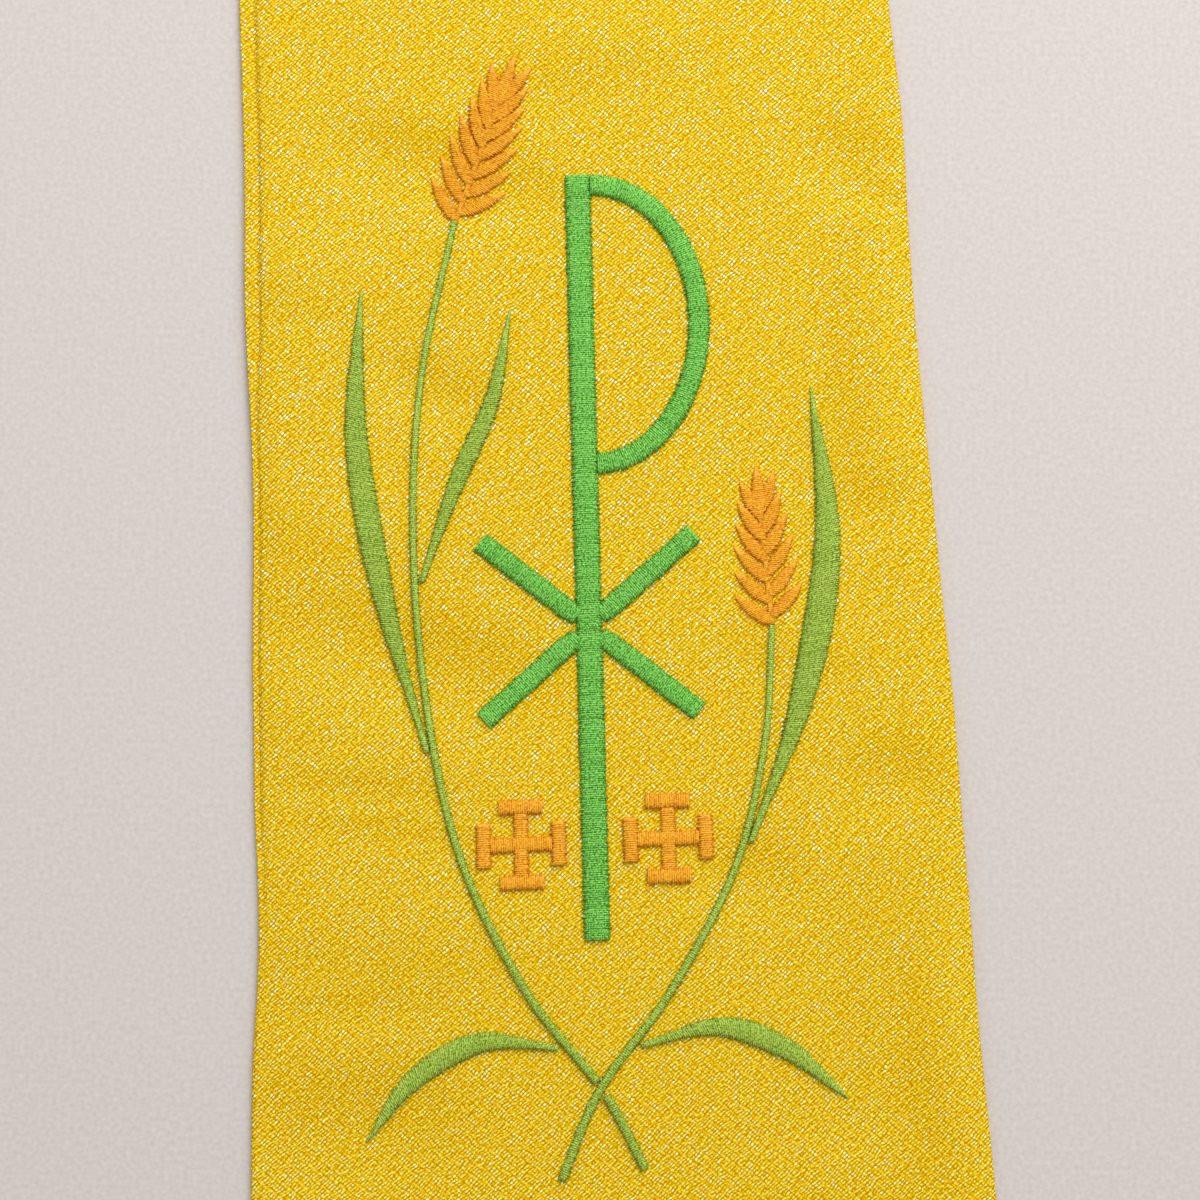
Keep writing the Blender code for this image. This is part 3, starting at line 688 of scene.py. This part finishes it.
def smooth_line(points, first=0.0, last=None, count=160):
    """Places along a smooth curve through the points."""
    points = np.array(points, float)
    ends = np.vstack([2 * points[0] - points[1], points, 2 * points[-1] - points[-2]])
    place = np.linspace(first, len(points) - 1 if last is None else last, count)
    span = np.minimum(place.astype(int), len(points) - 2)
    part = (place - span)[:, None]
    before, start, end, after = ends[span], ends[span + 1], ends[span + 2], ends[span + 3]
    curve = 2 * before - 5 * start + 4 * end - after
    twist = 3 * start - before - 3 * end + after
    return 0.5 * (2 * start + (end - before) * part + curve * part ** 2 + twist * part ** 3)


# The sign: an upright, a round bowl at its top and four slanted arms, in green thread. The
# columns are sewn one by one, and their ends are cut square.
UPRIGHT_WIDTH = 5.2
UPRIGHT_FOOT = 45
UPRIGHT_TOP = 197
BOWL_WIDTH = 4.4
BOWL_REACH = 25.5
BOWL_LOW = 136
ARM_HEIGHT = 106
ARM_ANGLE = 40
ARM_REACH = 21
ARM_WIDTH = 4.3
ARM_ROOT = (2.2, 4.4)           # from the upright's middle line, where an arm widens
ARM_ROOT_WIDTH = 3.4
BOWL_OVERLAP = 0.2              # of the bowl's ends on the upright
BOWL_POINTS = 120
BOWL_SHARE = (1, 0.4)           # of the way from deep to light thread, at a column's two ends
ARM_SHARE = (0.4, 0.4)
GREEN_DEEP = (0.045, 0.23, 0.012)
GREEN_LIGHT = (0.28, 0.71, 0.13)


def make_sign(side):
    upright = satin_column(side, [(0, UPRIGHT_FOOT), (0, UPRIGHT_TOP)], [UPRIGHT_WIDTH] * 2, seed=3)
    pieces = {"upright": upright}
    start_x = UPRIGHT_WIDTH / 2 - BOWL_OVERLAP
    across = BOWL_REACH - start_x - BOWL_WIDTH / 2
    upwards = (UPRIGHT_TOP - BOWL_LOW - BOWL_WIDTH) / 2
    turn = np.linspace(math.pi / 2, -math.pi / 2, BOWL_POINTS)
    middle_y = (UPRIGHT_TOP + BOWL_LOW) / 2
    bowl = np.stack([start_x + across * np.cos(turn), middle_y + upwards * np.sin(turn)], axis=1)
    pieces["bowl"] = satin_column(side, bowl, [BOWL_WIDTH] * len(bowl), share=BOWL_SHARE, seed=5)
    slope = math.tan(math.radians(ARM_ANGLE))
    for right, right_name in ((-1, "left"), (1, "right")):
        for up, up_name in ((-1, "low"), (1, "high")):
            line = [(right * out, ARM_HEIGHT + up * out * slope) for out in (*ARM_ROOT, ARM_REACH)]
            widths = [ARM_ROOT_WIDTH, ARM_WIDTH, ARM_WIDTH]
            pieces[f"arm_{up_name}_{right_name}"] = satin_column(
                side, line, widths, share=ARM_SHARE, seed=9 + right + 3 * up)
    for name, piece in pieces.items():
        sew_on([piece], side, name, green_thread)


green_thread = thread_finish("green_thread", GREEN_DEEP, GREEN_LIGHT)
for band_side in SIDES:
    make_sign(band_side)


# The two stalks, in leaf green thread. Each is a narrow column. They cross under the upright's
# foot, where the tall stalk passes below and is parted.
STALK_WIDTH = 1.9
STALK_TOP_WIDTH = 1.3
# Places that each stalk passes, from its foot to its ear
STALKS = {
    "tall": ((8, 1.5), (0, 17), (-14, 36), (-26, 62), (-32, 92), (-34, 124), (-32, 156), (-25, 187)),
    "short": ((-8, 0), (0, 17), (14, 35), (27, 58), (33.5, 82), (35.5, 103)),
}
CROSSING_CLEAR = 1.5            # from the crossing to each end of the parted stalk
RUN_ON = {"tall": 0.05, "short": 0.08}  # of a span, by which a stalk runs on under its ear
STALK_SHARE = 0.7               # of the way from deep to light thread, at a stalk's top
LEAF_DEEP = (0.15, 0.24, 0.010)
LEAF_LIGHT = (0.47, 0.64, 0.10)


def make_stalks(side):
    tall, short = STALKS["tall"], STALKS["short"]
    below = CROSSING_CLEAR / math.dist(tall[0], tall[1])
    above = CROSSING_CLEAR / math.dist(tall[1], tall[2])
    stretches = (
        ("tall_stalk_low", tall, 0, 1 - below),
        ("tall_stalk", tall, 1 + above, len(tall) - 1 + RUN_ON["tall"]),
        ("short_stalk", short, 0, len(short) - 1 + RUN_ON["short"]),
    )
    for seed, (name, points, first, last) in enumerate(stretches, start=20):
        line = smooth_line(points, first, last)
        end = len(points) - 1
        thinner = (STALK_TOP_WIDTH - STALK_WIDTH) / end
        widths = np.linspace(STALK_WIDTH + thinner * first, STALK_WIDTH + thinner * last, len(line))
        share = (first / end * STALK_SHARE, last / end * STALK_SHARE)
        column = satin_column(side, line, widths, share=share, seed=seed)
        sew_on([column], side, name, leaf_thread)


leaf_thread = thread_finish("leaf_thread", LEAF_DEEP, LEAF_LIGHT)
for band_side in SIDES:
    make_stalks(band_side)


# Five blade leaves in the same thread, which is paler on the blades. Each grows from the side
# of a stalk, swells to its widest place and ends in a point. Its stitches slant.
# Each has its stalk, its place on it, the side it grows to (1 is right), its points, its width
# and where it is widest, from 0 to 1
LEAVES = (
    ("tall_leaf", "tall", 3.7, -1, ((-40, 113), (-45, 145), (-43.5, 175)), 5.4, 0.5),
    ("inner_leaf", "tall", 4.75, 1, ((-25.5, 135), (-18, 152), (-14, 170)), 3.8, 0.45),
    ("short_leaf", "short", 3.2, 1, ((41, 90), (47, 121), (45, 152)), 6.0, 0.5),
    ("low_left_leaf", "tall", 1.5, -1, ((-23, 26.5), (-36, 20), (-45, 9)), 4.6, 0.45),
    ("low_right_leaf", "short", 1.5, 1, ((23, 27.5), (36, 22.5), (47, 13)), 4.6, 0.5),
)
LEAF_SHARE = (0.5, 1)
LEAF_SLANT = 0.35
LEAF_TIP_WIDTH = 0.4
ROOT_GAP = 0.55                 # from the stalk's edge to the middle of a leaf's root


def make_leaf(side, seed, name, stalk, place, hand, points, width, widest):
    near = smooth_line(STALKS[stalk], place - 0.01, place, count=2)
    way = near[1] - near[0]
    way /= math.hypot(*way)
    stalk_end = len(STALKS[stalk]) - 1
    stalk_width = STALK_WIDTH + (STALK_TOP_WIDTH - STALK_WIDTH) * place / stalk_end
    root = near[1] + np.array([way[1], -way[0]]) * (stalk_width / 2 + ROOT_GAP) * hand
    line = smooth_line([tuple(root), *points])
    share = np.linspace(0, 1, len(line))
    swelling = STALK_TOP_WIDTH + (width - STALK_TOP_WIDTH) * ease(share / widest)
    past = np.clip((share - widest) / (1 - widest), 0, 1)
    narrowing = LEAF_TIP_WIDTH + (width - LEAF_TIP_WIDTH) * np.cos(math.pi / 2 * past)
    widths = np.where(share < widest, swelling, narrowing)
    column = satin_column(side, line, widths, share=LEAF_SHARE, slant=LEAF_SLANT * hand, seed=seed)
    sew_on([column], side, name, leaf_thread)


for band_side in SIDES:
    for leaf_seed, leaf in enumerate(LEAVES, start=30):
        make_leaf(band_side, leaf_seed, *leaf)


# The wheat ears in orange thread: a thin stem, pairs of grains along it and one at the top.
# Each grain is a short, fat column that is sewn by itself.
# Each has its foot, its top and how many pairs of grains it bears
EARS = (
    ("tall_ear", (-24.6, 188.4), (-11.5, 223), 7),
    ("short_ear", (35.7, 104.8), (33.5, 137), 6),
)
STEM_SHARE = 0.8                # of the ear's length, as are the next five
GRAIN_REACH = 0.31
TOP_GRAIN = 0.68
FIRST_PAIR = 0.02
PAIRS_LENGTH = 0.64
HAND_SHIFT = 0.02               # one side's grains start farther up than the other's
STEM_WIDTH = 1.2
STEM_HEIGHT = 0.7
SPREADS = (46, 22)              # degrees from the stem, for the lowest pair and the highest
FULLEST = 0.45                  # where the longest pair is, from 0 to 1
SHORTER = 0.16
GRAIN_WIDTH = 3.1
GRAIN_PLACES = (0, 0.15, 0.36, 0.66, 0.88, 1)
GRAIN_FULLNESS = (0.3, 0.76, 1, 0.76, 0.34, 0.1)
GRAIN_HEIGHT = 0.85
GRAIN_POINTS = 14
GRAIN_SHARE = (0.2, 1)
GRAIN_SLANT = 0.5
ORANGE_DEEP = (0.60, 0.18, 0.0)
ORANGE_LIGHT = (1.0, 0.54, 0.035)


def make_ear(side, seed, name, foot, top, pairs):
    foot, top = np.array(foot, float), np.array(top, float)
    length = math.dist(foot, top)
    way = (top - foot) / length
    aside = np.array([way[1], -way[0]])
    stem = [foot, foot + way * length * STEM_SHARE]
    columns = [satin_column(side, stem, [STEM_WIDTH] * 2, height=STEM_HEIGHT, seed=seed)]
    grains = [(foot + way * length * TOP_GRAIN, way, GRAIN_REACH * length, 0)]
    for pair in range(pairs):
        share = pair / (pairs - 1)
        spread = math.radians(SPREADS[0] + (SPREADS[1] - SPREADS[0]) * share)
        reach = GRAIN_REACH * length * (1 - SHORTER * abs(share - FULLEST))
        for hand in (-1, 1):
            heading = way * math.cos(spread) + aside * hand * math.sin(spread)
            root = foot + way * length * (FIRST_PAIR + PAIRS_LENGTH * share + hand * HAND_SHIFT)
            grains.append((root, heading, reach, hand))
    for number, (root, heading, reach, hand) in enumerate(grains):
        parts = np.linspace(0, 1, GRAIN_POINTS)
        line = [root + heading * reach * part for part in parts]
        widths = GRAIN_WIDTH * np.interp(parts, GRAIN_PLACES, GRAIN_FULLNESS)
        columns.append(satin_column(side, line, widths, slant=GRAIN_SLANT * hand, height=GRAIN_HEIGHT,
                                    share=GRAIN_SHARE, seed=seed + 2 + number))
    sew_on(columns, side, name, orange_thread)


orange_thread = thread_finish("orange_thread", ORANGE_DEEP, ORANGE_LIGHT, contrast=2.9)
for band_side in SIDES:
    for ear_seed, ear in enumerate(EARS, start=2):
        make_ear(band_side, 20 * ear_seed, *ear)


# The small crosses with barred ends, one on each side of the upright's foot, in orange thread.
# Two columns cross at the middle, and a short one bars each end.
CROSS_SPAN = 17.5               # from the outside of one bar to that of the opposite one
CROSS_WIDTH = 3.0
CROSS_BAR = 8.6                 # length of a bar
CROSS_OUT = 14.2                # of a cross's middle from the upright's middle line
CROSS_UP = 64                   # and from the motif's foot
CROSS_DOMES = (1.04, 0.92)      # height of the level column, and of the one that it passes over
CROSS_OVERLAP = 0.3             # of the columns' ends on the bars
CROSS_SHARE = (0.6, 0.6)


def make_cross(side, seed, name, middle):
    middle = np.array(middle, float)
    half = CROSS_SPAN / 2
    inside = half - CROSS_WIDTH + CROSS_OVERLAP
    columns = []
    for way, dome in zip((np.array([1.0, 0]), np.array([0, 1.0])), CROSS_DOMES):
        aside = way[::-1]
        line = [middle - way * inside, middle + way * inside]
        columns.append(satin_column(side, line, [CROSS_WIDTH] * 2, share=CROSS_SHARE, height=dome,
                                    seed=seed + len(columns)))
        for end in (-1, 1):
            bar = middle + way * end * (half - CROSS_WIDTH / 2)
            line = [bar - aside * CROSS_BAR / 2, bar + aside * CROSS_BAR / 2]
            columns.append(satin_column(side, line, [CROSS_WIDTH] * 2, share=CROSS_SHARE,
                                        seed=seed + len(columns)))
    sew_on(columns, side, name, orange_thread)


for band_side in SIDES:
    make_cross(band_side, 80, "cross_left", (-CROSS_OUT, CROSS_UP))
    make_cross(band_side, 90, "cross_right", (CROSS_OUT, CROSS_UP))


# The floor that the stole lies on: a smooth, pale surface with a very fine grain, a hair below
# the bands. It is not attached to the stole.
FLOOR_SIZE = 6.0
FLOOR_DROP = 0.1 * MM
FLOOR_DEEP = (0.545, 0.50, 0.472)
FLOOR_LIGHT = (0.665, 0.612, 0.58)
FLOOR_GRAIN = 1100
FLOOR_CONTRAST = 1.7

bpy.ops.mesh.primitive_plane_add(size=FLOOR_SIZE, location=(0, 0, -FLOOR_DROP))
floor = bpy.context.object
floor.name = "floor"
floor_finish = Finish("floor", Roughness=0.75)
floor_places = floor_finish.node("ShaderNodeTexCoord", output="Object")
floor_grain = floor_finish.node("ShaderNodeTexNoise", sockets={
    "Vector": floor_places, "Scale": FLOOR_GRAIN, "Detail": 2})
floor_tone = (floor_grain - 0.5) * FLOOR_CONTRAST + 0.5
floor_finish.put(Base_Color=floor_finish.mix(floor_tone, FLOOR_DEEP, FLOOR_LIGHT))
floor.data.materials.append(floor_finish.material)


# The light, as in a studio: one large, soft lamp at the upper right, and an even, pale room
# that fills the shadows.
LAMP_PLACE = (0.48, 0.34, 0.92)  # metres
LAMP_TARGET = Vector((0.16, -0.2, 0))
LAMP_SIZE = 1.1
LAMP_POWER = 15.8
LAMP_COLOUR = (1.0, 0.985, 0.965)
ROOM_COLOUR = (0.97, 0.98, 1.0, 1)
ROOM_LIGHT = 0.55

lamp_data = bpy.data.lights.new("lamp", "AREA")
lamp_data.size = LAMP_SIZE
lamp_data.energy = LAMP_POWER
lamp_data.color = LAMP_COLOUR
lamp = bpy.data.objects.new("lamp", lamp_data)
lamp.location = LAMP_PLACE
lamp.rotation_euler = (LAMP_TARGET - lamp.location).to_track_quat("-Z", "Y").to_euler()
lamp.visible_camera = False
bpy.context.scene.collection.objects.link(lamp)
world = bpy.data.worlds.new("world")
world.use_nodes = True
room = world.node_tree.nodes["Background"].inputs
room["Color"].default_value = ROOM_COLOUR
room["Strength"].default_value = ROOM_LIGHT
bpy.context.scene.world = world
bpy.context.scene.view_settings.view_transform = "Standard"
